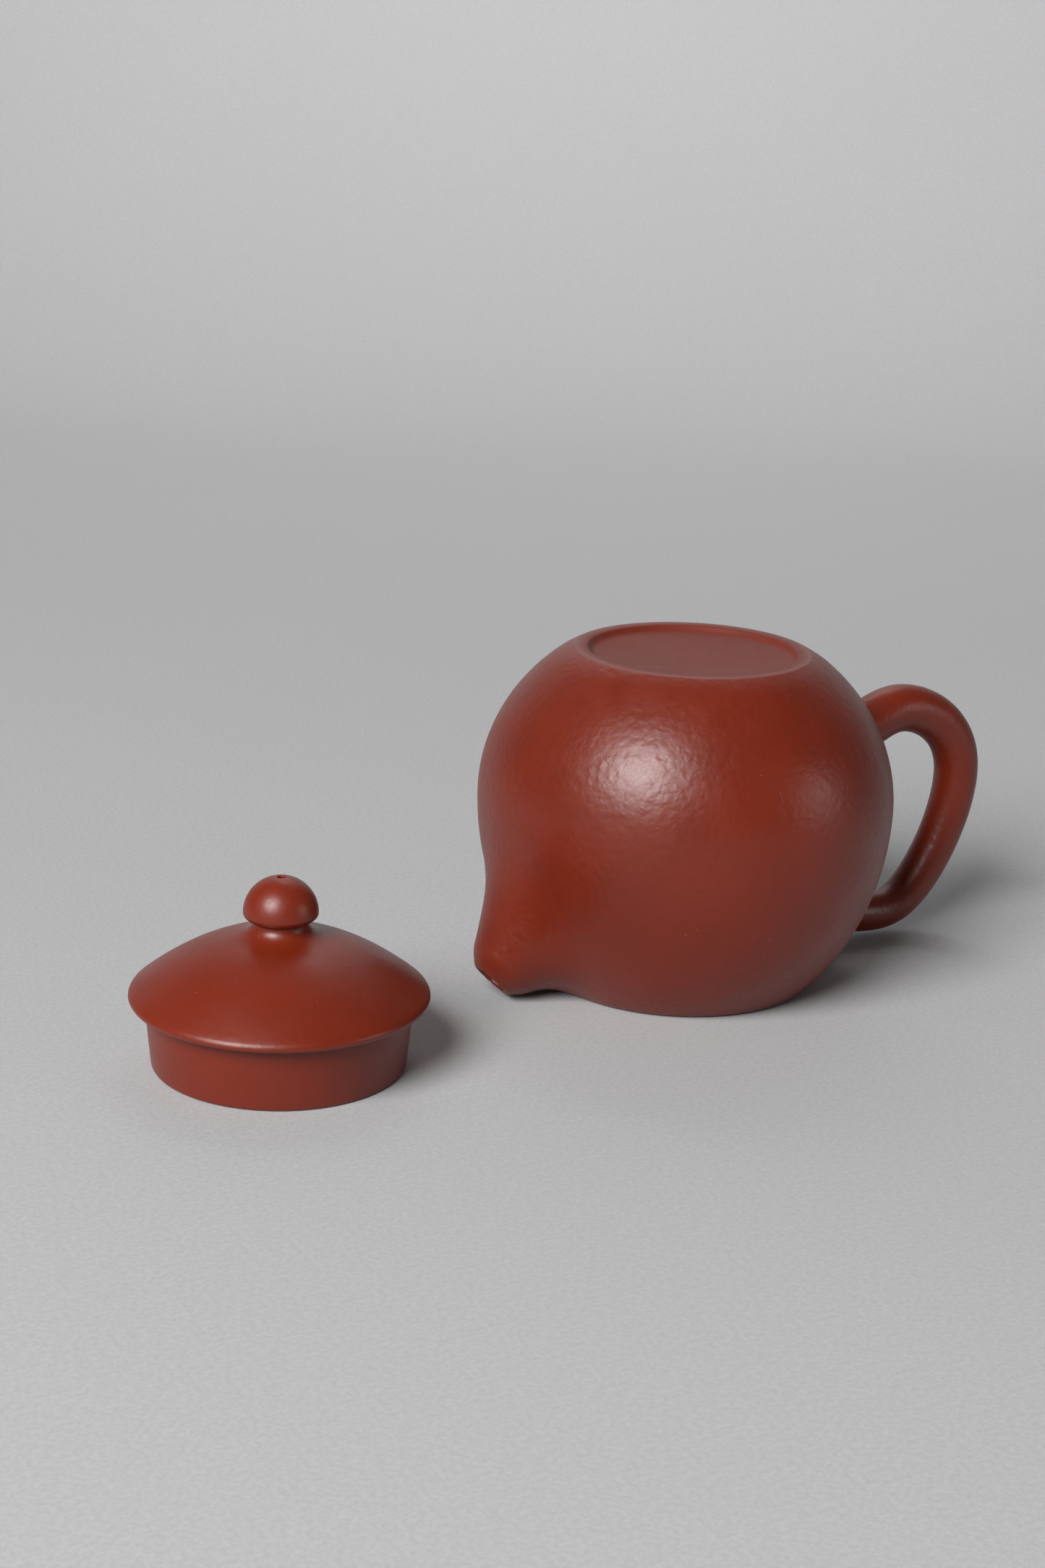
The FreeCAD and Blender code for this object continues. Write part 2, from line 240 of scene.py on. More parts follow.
def clay_material(name, peel_share, grain_share, dry_r=0.0):
    """Burnished red clay: drifting colour, sand specks, orange-peel lumps and a fine grain.

    Within dry_r of the pot's axis the clay is left flatter and unburnished."""
    look = settings()[2]
    s = Shader(name)
    place = s.add("ShaderNodeTexCoord").outputs["Object"]
    rough = look.rough
    if dry_r:
        arm = s.add("ShaderNodeVectorMath", {"operation": "MULTIPLY_ADD"})
        s.feed(arm, "#0", place)
        s.feed(arm, "#1", (1.0, 1.0, 0.0))
        s.feed(arm, "#2", (-POT_AXIS[0], -POT_AXIS[1], 0.0))
        far = s.add("ShaderNodeVectorMath", {"operation": "LENGTH"}, Vector=arm.outputs[0]).outputs["Value"]
        border = dry_r - DRY_FADE, dry_r + DRY_FADE
        rough = s.span(far, *border, look.rough + DRY_ROUGH, look.rough)
        peel_share = s.span(far, *border, DRY_PEEL * peel_share, peel_share)

    def noise(size, detail, coarse=0.5, warp=0.0):
        return s.add("ShaderNodeTexNoise", Vector=place, Scale=1.0 / size, Detail=detail, Roughness=coarse,
                     Distortion=warp).outputs["Fac"]

    drift = noise(DRIFT_SIZE, 2.0)
    cloud = noise(CLOUD_SIZE, 3.0, 0.6)
    tone = s.mix(s.span(drift, 0.35, 0.68), look.deep, look.warm)
    tone = s.mix(s.span(cloud, 0.3, 0.7, 0.25, 0.75), tone, look.body)
    pits = noise(PIT_SIZE, 2.0, 0.6)
    tone = s.mix(s.span(pits, 0.35, 0.62, 0.16, 0.0), tone, PIT_COLOUR)
    sand = s.add("ShaderNodeTexVoronoi", Vector=place, Scale=1.0 / SAND_SIZE, Randomness=1.0)
    lot = s.add("ShaderNodeSeparateColor", Color=sand.outputs["Color"])
    near = s.span(sand.outputs["Distance"], 0.05, 0.11, 1.0, 0.0)
    chosen = s.math("GREATER_THAN", lot.outputs["Red"], SAND_HIDDEN)
    tone = s.mix(s.math("MULTIPLY", s.math("MULTIPLY", near, chosen), 0.55), tone, look.speck)

    lumps = noise(look.peel, 1.5, 0.45, 0.35)
    ridges = s.add("ShaderNodeTexVoronoi", {"feature": "SMOOTH_F1"}, Vector=place,
                   Scale=1.0 / (1.25 * look.peel), Smoothness=0.6).outputs["Distance"]
    grain = noise(GRAIN_SIZE, 3.0, 0.6)
    height = s.math("ADD", lumps, s.math("MULTIPLY", ridges, -0.5))
    peel = s.add("ShaderNodeBump", Strength=peel_share, Distance=PEEL_HEIGHT, Height=height)
    fine = s.add("ShaderNodeBump", Strength=grain_share, Distance=GRAIN_HEIGHT, Height=grain,
                 Normal=peel.outputs["Normal"])
    satin = s.math("ADD", s.span(cloud, 0.25, 0.75, -0.03, 0.04), s.span(pits, 0.3, 0.7, 0.05, 0.0))
    satin = s.math("ADD", satin, rough)

    clay = s.add("ShaderNodeBsdfPrincipled", Base_Color=tone, Roughness=satin, IOR=1.5,
                 Specular_IOR_Level=0.5, Normal=fine.outputs["Normal"])
    s.add("ShaderNodeOutputMaterial", Surface=clay.outputs["BSDF"])
    return s.material


def sweep_material():
    """Matt grey paper with a faint fleck."""
    look = settings()[2]
    s = Shader("grey_sweep")
    place = s.add("ShaderNodeTexCoord").outputs["Object"]
    fleck = s.add("ShaderNodeTexNoise", Vector=place, Scale=1 / (0.9 * MM), Detail=3.0,
                  Roughness=0.6).outputs["Fac"]
    cloud = s.add("ShaderNodeTexNoise", Vector=place, Scale=1 / 0.25, Detail=2.0).outputs["Fac"]
    grey = look.sweep
    darker = tuple(0.88 * c for c in grey[:3]) + (1.0,)
    tone = s.mix(s.span(fleck, 0.3, 0.7), darker, grey)
    tone = s.mix(s.span(cloud, 0.2, 0.8, 0.0, 0.25), tone, darker)
    paper = s.add("ShaderNodeBsdfPrincipled", Base_Color=tone, Roughness=0.9, IOR=1.3)
    s.add("ShaderNodeOutputMaterial", Surface=paper.outputs["BSDF"])
    return s.material


def wheel_tree():
    """Geometry nodes that turn an outline of edges about an upright axis, as on a potter's wheel."""
    tree = bpy.data.node_groups.new("Potters wheel", "GeometryNodeTree")
    tree.is_modifier = True
    face = tree.interface
    face.new_socket("Outline", in_out="INPUT", socket_type="NodeSocketGeometry")
    face.new_socket("Steps", in_out="INPUT", socket_type="NodeSocketInt").default_value = 192
    for name, default in (("Axis X", 0.0), ("Axis Y", 0.0), ("Unevenness", 0.03 * MM),
                          ("Unevenness size", 12 * MM), ("Seed", 3.0)):
        face.new_socket(name, in_out="INPUT", socket_type="NodeSocketFloat").default_value = default
    face.new_socket("Clay", in_out="INPUT", socket_type="NodeSocketMaterial")
    face.new_socket("Turned", in_out="OUTPUT", socket_type="NodeSocketGeometry")
    nodes, links = tree.nodes, tree.links
    given = nodes.new("NodeGroupInput").outputs

    def add(kind, settings=None, *feeds):
        node = nodes.new(kind)
        for key, value in (settings or {}).items():
            setattr(node, key, value)
        for socket, value in feeds:
            target = node.inputs[socket]
            if isinstance(value, bpy.types.NodeSocket):
                links.new(value, target)
            else:
                target.default_value = value
        return node

    def math_of(operation, a, b=0.0):
        return add("ShaderNodeMath", {"operation": operation}, (0, a), (1, b)).outputs[0]

    count = add("GeometryNodeAttributeDomainSize", {"component": "MESH"},
                (0, given["Outline"])).outputs["Point Count"]
    columns = math_of("ADD", given["Steps"], 1.0)
    grid = add("GeometryNodeMeshGrid", None, ("Vertices X", columns), ("Vertices Y", count)).outputs["Mesh"]
    index = add("GeometryNodeInputIndex").outputs[0]
    column = math_of("FLOOR", math_of("DIVIDE", math_of("ADD", index, 0.5), count))
    row = math_of("SUBTRACT", index, math_of("MULTIPLY", column, count))
    here = add("GeometryNodeInputPosition").outputs[0]
    spot = add("GeometryNodeSampleIndex", {"data_type": "FLOAT_VECTOR", "domain": "POINT"},
               (0, given["Outline"]), ("Value", here), ("Index", row)).outputs[0]
    apart = add("ShaderNodeSeparateXYZ", None, (0, spot)).outputs
    turn = math_of("MULTIPLY", math_of("DIVIDE", column, given["Steps"]), 2 * math.pi)
    x = math_of("ADD", math_of("MULTIPLY", apart["X"], math_of("COSINE", turn)), given["Axis X"])
    y = math_of("ADD", math_of("MULTIPLY", apart["X"], math_of("SINE", turn)), given["Axis Y"])
    place = add("ShaderNodeCombineXYZ", None, (0, x), (1, y), (2, apart["Z"])).outputs[0]
    turned = add("GeometryNodeSetPosition", None, (0, grid), ("Position", place)).outputs[0]
    closed = add("GeometryNodeMergeByDistance", None, (0, turned), ("Distance", 0.000002)).outputs[0]
    scale = math_of("DIVIDE", 1.0, given["Unevenness size"])
    wave = add("ShaderNodeTexNoise", {"noise_dimensions": "4D"}, ("W", given["Seed"]), ("Scale", scale),
               ("Detail", 1.0)).outputs["Fac"]
    lift = math_of("MULTIPLY", math_of("SUBTRACT", wave, 0.5), math_of("MULTIPLY", given["Unevenness"], 2.0))
    normal = add("GeometryNodeInputNormal").outputs[0]
    offset = add("ShaderNodeVectorMath", {"operation": "SCALE"}, (0, normal), ("Scale", lift)).outputs[0]
    uneven = add("GeometryNodeSetPosition", None, (0, closed), ("Offset", offset)).outputs[0]
    smooth = add("GeometryNodeSetShadeSmooth", None, (0, uneven)).outputs[0]
    real = add("GeometryNodeRealizeInstances", None, (0, smooth)).outputs[0]
    clay = add("GeometryNodeSetMaterial", None, (0, real), ("Material", given["Clay"])).outputs[0]
    links.new(clay, nodes.new("NodeGroupOutput").inputs[0])
    return tree


def soft_outline(corners, fine=0.05, reach=0.9, turn=5.0):
    """A smooth outline through corner points (radius, height, softness), in millimetres, as (r, z) rows.

    Each corner is rounded over its softness to both sides, and points are kept where the line bends."""
    spots = np.array([c[:2] for c in corners], float)
    soft = np.array([c[2] for c in corners], float)
    run = np.concatenate([[0.0], np.cumsum(np.hypot(*np.diff(spots, axis=0).T))])
    s = np.arange(0.0, run[-1] + fine / 2, fine)
    s[-1] = run[-1]
    line = np.stack([np.interp(s, run, spots[:, i]) for i in (0, 1)], 1)
    width = np.zeros_like(s)
    for at, w in zip(run, soft):
        if w > 0:
            width = np.maximum(width, np.clip(1.6 * w - 0.6 * np.abs(s - at), 0.0, w))
    width = np.minimum(width, np.minimum(s, run[-1] - s))
    cum = np.concatenate([[[0.0, 0.0]], np.cumsum((line[1:] + line[:-1]) / 2 * fine, axis=0)])
    wide = width > fine
    smooth = line.copy()
    for i in (0, 1):
        a = np.interp(s + width, s, cum[:, i]) - np.interp(s - width, s, cum[:, i])
        smooth[wide, i] = a[wide] / (2 * width[wide])
    kept, bend, gone = [0], 0.0, 0.0
    for i in range(1, len(s) - 1):
        a, b = smooth[i] - smooth[i - 1], smooth[i + 1] - smooth[i]
        bend += abs(math.degrees(math.atan2(a[0] * b[1] - a[1] * b[0], a @ b)))
        gone += math.hypot(*a)
        if bend >= turn or gone >= reach:
            kept.append(i)
            bend = gone = 0.0
    kept.append(len(s) - 1)
    return smooth[kept]


def arc_points(a, b, centre_z, r, half, count):
    """Corner points along an ellipse about the axis, from angle a to b, with no rounding."""
    return [(r * math.cos(t), centre_z + half * math.sin(t), 0.0) for t in np.linspace(a, b, count)]


# Edges that bend more than this are shaded as edges.
SHARP_BEND = math.radians(42.0)


def turned_piece(name, corners, axis, material, seed, steps, uneven=0.03):
    """A turned piece from its outline in millimetres, closed round the axis or round itself."""
    rows = soft_outline(corners)
    mesh = bpy.data.meshes.new(name)
    mesh.from_pydata([(r * MM, 0.0, z * MM) for r, z in rows], [(i, i + 1) for i in range(len(rows) - 1)], [])
    piece = make_object(name, mesh)
    tree = bpy.data.node_groups.get("Potters wheel") or wheel_tree()
    wheel = piece.modifiers.new("Wheel", "NODES")
    wheel.node_group = tree
    inputs = {item.name: item.identifier for item in tree.interface.items_tree if item.in_out == "INPUT"}
    for key, value in (("Steps", steps), ("Axis X", axis[0]), ("Axis Y", axis[1]),
                       ("Unevenness", uneven * MM), ("Unevenness size", 14 * MM),
                       ("Seed", float(seed)), ("Clay", material)):
        wheel[inputs[key]] = value
    shown = piece.evaluated_get(bpy.context.evaluated_depsgraph_get())
    made = bpy.data.meshes.new_from_object(shown)
    piece.modifiers.remove(wheel)
    piece.data = made
    outward(made)
    made.set_sharp_from_angle(angle=SHARP_BEND)
    if not made.materials:
        made.materials.append(material)
    return piece


def outward(mesh):
    """Turn the faces of a closed mesh outwards."""
    work = bmesh.new()
    work.from_mesh(mesh)
    if work.calc_volume(signed=True) < 0:
        bmesh.ops.reverse_faces(work, faces=work.faces[:])
    loose = [e for e in work.edges if len(e.link_faces) != 2]
    if loose:
        raise RuntimeError("%s has %d open edges" % (mesh.name, len(loose)))
    work.to_mesh(mesh)
    work.free()


class PotClay:
    """The pot's clay as a field that is below zero inside it. Millimetres, about the pot's own axis."""

    # The handle's control points: distance out from the belly, and height.
    HANDLE_POLES = ((-9.0, 39.5), (3.0, 45.4), (9.5, 51.7), (33.3, 38.7), (16.0, 1.0), (4.3, 5.2),
                    (-15.0, 8.5))
    HANDLE_POINTS = 900
    NOT_LENGTHS = ("spout_dip", "spout_flare", "foot_rise")
    # How far edges are rounded: the mouth's rim, its inner edge, the spout's hole and the strainer's holes.
    RIM_ROUND, INNER_ROUND, BORE_ROUND, HOLE_ROUND = 0.8, 0.6, 0.7, 0.3
    # The spout's outer lip is rounded over this many times half its thickness.
    LIP_ROUND = 3.3
    # The strainer's holes end this far past the wall's outer skin.
    HOLE_OVERRUN = 0.2

    def __init__(self, sizes):
        for key in sizes.__annotations__:
            value = getattr(sizes, key)
            setattr(self, key, value if key in self.NOT_LENGTHS else value / MM)
        self.upper = self.belly_z / math.sqrt(1 - (self.mouth_r / self.belly_r) ** 2)
        self.lower = (self.body_h - self.belly_z) / math.sqrt(1 - (self.base_r / self.belly_r) ** 2)
        self.tip = np.array([-self.belly_r - self.spout_reach, 0.0, self.spout_z])
        self.axis = np.array([math.cos(self.spout_dip), 0.0, math.sin(self.spout_dip)])
        self.lip = (self.spout_tip_r - self.spout_bore_r) / 2
        long = self.spout_run - self.lip
        self.curl = (self.spout_root_r - self.spout_tip_r - self.spout_flare * long) / long ** 2
        self.draw_handle()

    def draw_handle(self):
        """Points, slopes and bends along the handle's middle line, a cubic through its control points."""
        poles = np.array([(self.belly_r + r, z) for r, z in self.HANDLE_POLES])
        spans = len(poles) - 3
        knots = np.concatenate([np.zeros(3), np.arange(spans + 1), np.full(3, spans)]).astype(float)
        u = np.linspace(0.0, spans, self.HANDLE_POINTS)
        self.h_step = float(spans) / (self.HANDLE_POINTS - 1)

        def curve(poles, knots, degree):
            basis = np.zeros((len(u), len(knots) - 1))
            at = np.clip(np.searchsorted(knots, u, side="right") - 1, degree, len(knots) - degree - 2)
            basis[np.arange(len(u)), at] = 1.0
            for d in range(1, degree + 1):
                new = np.zeros_like(basis)
                for i in range(len(knots) - d - 1):
                    left, right = knots[i + d] - knots[i], knots[i + d + 1] - knots[i + 1]
                    if left > 0:
                        new[:, i] += (u - knots[i]) / left * basis[:, i]
                    if right > 0:
                        new[:, i] += (knots[i + d + 1] - u) / right * basis[:, i + 1]
                basis = new
            return basis[:, :len(poles)] @ poles

        def slope(poles, knots, degree):
            gaps = np.array([knots[i + degree + 1] - knots[i + 1] for i in range(len(poles) - 1)])
            return degree * np.diff(poles, axis=0) / gaps[:, None], knots[1:-1]

        self.h_at = curve(poles, knots, 3)
        first, k1 = slope(poles, knots, 3)
        second, k2 = slope(first, k1, 2)
        self.h_slope, self.h_bend = curve(first, k1, 2), curve(second, k2, 1)
        run = np.concatenate([[0.0], np.cumsum(np.hypot(*np.diff(self.h_at, axis=0).T))])
        self.h_r = self.handle_base_r + (self.handle_mouth_r - self.handle_base_r) * run / run[-1]

    def skin(self, p, inset=0.0):
        """Distance to the body's outer skin, or to one set in from it, and the skin's outward direction."""
        r, z = np.hypot(p[:, 0], p[:, 1]), p[:, 2] - self.belly_z
        a, b = self.belly_r - inset, np.where(z < 0, self.upper, self.lower) - inset
        k0 = np.sqrt((r / a) ** 2 + (z / b) ** 2)
        n = np.stack([p[:, 0] / a ** 2, p[:, 1] / a ** 2, z / b ** 2], 1)
        k1 = np.maximum(np.linalg.norm(n, axis=1), 1e-9)
        return k0 * (k0 - 1) / k1, n / k1[:, None]

    def spout(self, p, wall=0.0):
        """Distance to the spout's flaring cone, the distance along it, and the cone's outward direction."""
        q = p - self.tip
        t = q @ self.axis
        off = q - t[:, None] * self.axis
        rho = np.linalg.norm(off, axis=1)
        far = np.clip(t - self.lip, 0.0, self.spout_run)
        r = self.spout_tip_r - wall + self.spout_flare * far + self.curl * far ** 2
        slope = np.where(t > self.lip, self.spout_flare + 2 * self.curl * far, 0.0)
        lean = 1 / np.sqrt(1 + slope ** 2)
        n = (off / np.maximum(rho, 1e-6)[:, None] - slope[:, None] * self.axis) * lean[:, None]
        return (rho - r) * lean, t, n

    def handle(self, p, batch=20000, stride=6):
        """Distance to the handle's round tube, and its outward direction."""
        flat = p[:, [0, 2]]
        near = np.empty(len(p), int)
        for i in range(0, len(p), batch):
            gap = flat[i:i + batch, None, :] - self.h_at[None, ::stride, :]
            near[i:i + batch] = np.argmin((gap ** 2).sum(2), axis=1) * stride
        near = np.clip(near, 1, len(self.h_at) - 2)
        step = self.h_step
        c, d, e = self.h_at[near], self.h_slope[near], self.h_bend[near]
        gap = c - flat
        du = -(gap * d).sum(1) / np.maximum((d * d).sum(1) + (gap * e).sum(1), 1e-3)
        du = np.clip(du, -8 * step, 8 * step)[:, None]
        c = c + d * du + e * du ** 2 / 2
        r = np.interp(near + du[:, 0] / step, np.arange(len(self.h_r)), self.h_r)
        out = np.stack([flat[:, 0] - c[:, 0], p[:, 1], flat[:, 1] - c[:, 1]], 1)
        far = np.linalg.norm(out, axis=1)
        return far - r, out / np.maximum(far, 1e-6)[:, None]

    @staticmethod
    def merge(f, g, width):
        """Smooth union: a fillet where the two skins meet."""
        w = np.maximum(width, 1e-4)
        h = np.maximum(w - np.abs(f - g), 0.0) / w
        return np.minimum(f, g) - h * h * w / 4

    @classmethod
    def trim(cls, f, g, width):
        """Smooth cut: keep f outside g's clay, with a rounded edge."""
        return -cls.merge(-f, g, width)

    def outside(self, p):
        """The outer clay: body, spout and handle with their fillets, before it is hollowed."""
        body, n_body = self.skin(p)
        cone, t, n_cone = self.spout(p)
        cone = np.maximum(self.trim(cone, t, self.LIP_ROUND * self.lip), t - self.spout_run)
        angle = np.sqrt(np.maximum(1 - (n_body * n_cone).sum(1), 0.0) / 2)
        f = self.merge(body, cone, self.spout_blend * angle)
        near = p[:, 0] > 0.3 * self.belly_r
        if near.any():
            tube, n_tube = self.handle(p[near])
            angle = np.sqrt(np.maximum(1 - (n_body[near] * n_tube).sum(1), 0.0) / 2)
            f[near] = self.merge(f[near], tube, self.handle_blend * angle)
        return f, body, t

    def __call__(self, p):
        """The whole pot: cut off at the table, hollowed, bored through the spout and drilled under it."""
        f, body, t = self.outside(p)
        f = self.trim(f, p[:, 2], self.RIM_ROUND)
        r = np.hypot(p[:, 0], p[:, 1])
        inner = np.maximum(self.skin(p, self.wall)[0], self.collar_h - p[:, 2])
        f = self.trim(f, np.minimum(inner, r - self.mouth_bore_r), self.INNER_ROUND)
        bore = np.maximum(self.spout(p, self.spout_tip_r - self.spout_bore_r)[0], t - self.spout_run)
        f = self.trim(f, np.maximum(bore, -body), self.BORE_ROUND)
        return self.trim(f, np.maximum(self.strainer(p, t), body - self.HOLE_OVERRUN), self.HOLE_ROUND)

    def strainer(self, p, t):
        """Distance to the drilled holes under the spout, one in the middle and six round it."""
        q = p - self.tip - t[:, None] * self.axis
        up = q @ np.array([-self.axis[2], 0.0, self.axis[0]])
        side = q[:, 1]
        far = np.hypot(up, side)
        sixth = np.mod(np.arctan2(side, up) + math.pi / 6, math.pi / 3) - math.pi / 6
        ring = np.hypot(far * np.cos(sixth) - self.strainer_ring_r, far * np.sin(sixth))
        hole = np.minimum(far, ring) - self.strainer_hole_r
        return np.maximum(hole, t - self.spout_run)

    def grow(self, p, size=0.01):
        """Slope of the field at points, for settling the mesh and for its normals."""
        steps = np.eye(3) * size
        return np.stack([self(p + s) - self(p - s) for s in steps], 1) / (2 * size)


def part_checkers(value, tiny):
    """Turn the weakest corner of each chequered grid square.

    Without this, some edges of the net would carry four faces."""
    flat = value.reshape(-1)
    number = np.arange(flat.size).reshape(value.shape)
    for _ in range(20):
        weakest = []
        for u, v in ((0, 1), (1, 2), (0, 2)):
            squares = []
            for du, dv in ((0, 0), (1, 0), (0, 1), (1, 1)):
                part = [slice(None)] * 3
                part[u] = slice(1, None) if du else slice(0, -1)
                part[v] = slice(1, None) if dv else slice(0, -1)
                squares.append(number[tuple(part)].reshape(-1))
            a, b, c, d = (flat[q] < 0 for q in squares)
            odd = (a == d) & (b == c) & (a != b)
            corners = np.stack([q[odd] for q in squares], 1)
            weakest.append(corners[np.arange(len(corners)), np.argmin(np.abs(flat[corners]), axis=1)])
        weakest = np.unique(np.concatenate(weakest))
        if not len(weakest):
            return
        flat[weakest] = np.where(flat[weakest] < 0, tiny, -tiny)


def surface_net(field, low, high, cell, batch=200000):
    """Corner points and four-sided faces of the skin where a field crosses zero."""
    counts = np.ceil((high - low) / cell).astype(int) + 1
    axes = [low[i] + cell * np.arange(counts[i]) for i in range(3)]
    grid = np.stack(np.meshgrid(*axes, indexing="ij"), -1).reshape(-1, 3)
    value = np.concatenate([field(grid[i:i + batch]) for i in range(0, len(grid), batch)]).reshape(counts)
    part_checkers(value, 0.001 * cell)
    inside = value < 0
    total, hits = np.zeros(tuple(counts - 1) + (3,)), np.zeros(tuple(counts - 1))
    ways = []
    for axis in range(3):
        first = [slice(None)] * 3
        second = [slice(None)] * 3
        first[axis], second[axis] = slice(0, -1), slice(1, None)
        first, second = tuple(first), tuple(second)
        crossed = inside[first] != inside[second]
        at = np.argwhere(crossed)
        a, b = value[first][crossed], value[second][crossed]
        spot = low + cell * at
        spot[:, axis] += cell * a / (a - b)
        ways.append((axis, at, inside[first][crossed]))
        u, v = [i for i in range(3) if i != axis]
        for du in (0, 1):
            for dv in (0, 1):
                home = at.copy()
                home[:, u] -= du
                home[:, v] -= dv
                good = ((home >= 0) & (home < counts - 1)).all(1)
                key = tuple(home[good].T)
                np.add.at(total, key, spot[good])
                np.add.at(hits, key, 1)
    used = hits > 0
    number = np.full(used.shape, -1)
    number[used] = np.arange(used.sum())
    points = total[used] / hits[used][:, None]
    faces = []
    for axis, at, solid in ways:
        u, v = (axis + 1) % 3, (axis + 2) % 3
        good = (at[:, u] > 0) & (at[:, v] > 0) & (at[:, u] < counts[u] - 1) & (at[:, v] < counts[v] - 1)
        at, solid = at[good], solid[good]
        ring = []
        for du, dv in ((0, 0), (1, 0), (1, 1), (0, 1)):
            home = at.copy()
            home[:, u] -= du
            home[:, v] -= dv
            ring.append(number[tuple(home.T)])
        quad = np.stack(ring, 1)
        quad[~solid] = quad[~solid][:, ::-1]
        faces.append(quad)
    return points, np.concatenate(faces)


def settle(field, points, faces, rounds=4):
    """Even out the net and press its points onto the skin."""
    a = np.concatenate([faces[:, i] for i in range(4)])
    b = np.concatenate([faces[:, (i + 1) % 4] for i in range(4)])
    count = np.bincount(a, minlength=len(points)) + np.bincount(b, minlength=len(points))
    for turn in range(rounds + 2):
        if turn < rounds:
            total = np.zeros_like(points)
            np.add.at(total, a, points[b])
            np.add.at(total, b, points[a])
            points = points + 0.5 * (total / count[:, None] - points)
        points = press(field, points)
    return points


def press(field, points):
    """Move points onto the skin along the field's slope."""
    slope = field.grow(points)
    size = np.maximum((slope ** 2).sum(1), 0.05)
    return points - np.clip(field(points) / size, -1.0, 1.0)[:, None] * slope


def refine(field, work, middle, reach):
    """Halve the mesh round a point, and settle the new points on the skin."""
    near = [e for e in work.edges if all((v.co - middle).length < reach for v in e.verts)]
    bmesh.ops.subdivide_edges(work, edges=near, cuts=1, use_grid_fill=True)
    close = [v for v in work.verts if (v.co - middle).length < reach + 1.0]
    spots = np.array([v.co[:] for v in close])
    for _ in range(3):
        spots = press(field, spots)
    for v, spot in zip(close, spots.tolist()):
        v.co = spot


class TEAPOT_OT_pot(Operator):
    """Model the pot's seamless clay: body, mouth, spout and handle"""
    bl_idname = "teapot.pot"
    bl_label = "Pot"

    # Room for the mesh, in millimetres: past the belly at the spout and at the handle, elsewhere
    # round it and under the table, and above the base's seam.
    SPOUT_ROOM, HANDLE_ROOM, ROOM, SEAM_ROOM = 7.5, 33.0, 1.5, 1.6
    # Round the spout's tip the mesh is finer.
    FINE_REACH = 9.0

    def execute(self, context):
        clay = PotClay(settings()[0])
        side = clay.belly_r + self.ROOM
        low = np.array([-clay.belly_r - self.SPOUT_ROOM, -side, -self.ROOM])
        high = np.array([clay.belly_r + self.HANDLE_ROOM, side, clay.base_seam_z + self.SEAM_ROOM])
        points, faces = surface_net(clay, low, high, clay.cell)
        points = settle(clay, points, faces)
        work = bmesh.new()
        for x, y, z in points.tolist():
            work.verts.new((x, y, z))
        work.verts.ensure_lookup_table()
        for quad in faces.tolist():
            work.faces.new([work.verts[i] for i in quad])
        pinched = [e for e in work.edges if len(e.link_faces) > 2]
        bmesh.ops.collapse(work, edges=pinched, uvs=False)
        refine(clay, work, Vector(clay.tip), self.FINE_REACH)
        seam = Vector((0, 0, clay.base_seam_z))
        cut = bmesh.ops.bisect_plane(work, geom=work.verts[:] + work.edges[:] + work.faces[:], dist=0.002,
                                     plane_co=seam, plane_no=(0, 0, 1), clear_outer=True)
        loop = [g for g in cut["geom_cut"] if isinstance(g, bmesh.types.BMEdge)]
        top = bmesh.ops.triangle_fill(work, use_beauty=True, use_dissolve=False, edges=loop, normal=(0, 0, 1))
        for face in top["geom"]:
            if isinstance(face, bmesh.types.BMFace):
                face.material_index = 1
        bmesh.ops.recalc_face_normals(work, faces=work.faces[:])
        bmesh.ops.triangulate(work, faces=[f for f in work.faces if len(f.verts) > 4])
        mesh = bpy.data.meshes.new("pot_clay")
        work.to_mesh(mesh)
        work.free()
        spots = np.empty(len(mesh.vertices) * 3)
        mesh.vertices.foreach_get("co", spots)
        slope = clay.grow(spots.reshape(-1, 3))
        slope /= np.maximum(np.linalg.norm(slope, axis=1), 1e-9)[:, None]
        corner = np.empty(len(mesh.loops), int)
        mesh.loops.foreach_get("vertex_index", corner)
        normals = slope[corner]
        for face in mesh.polygons:
            if face.material_index == 1:
                normals[face.loop_start:face.loop_start + face.loop_total] = (0, 0, 1)
                face.material_index = 0
        mesh.transform(Matrix.Translation((POT_AXIS[0], POT_AXIS[1], 0)) @ Matrix.Scale(MM, 4))
        mesh.materials.append(clay_material("pot_clay_finish", 1.0, 0.5))
        outward(mesh)
        mesh.shade_smooth()
        mesh.normals_split_custom_set(normals.tolist())
        piece = make_object("pot_clay", mesh)
        dress(piece, "pot", "body_wall", "shoulder_ring", "mouth_collar", "spout", "handle")
        return {"FINISHED"}


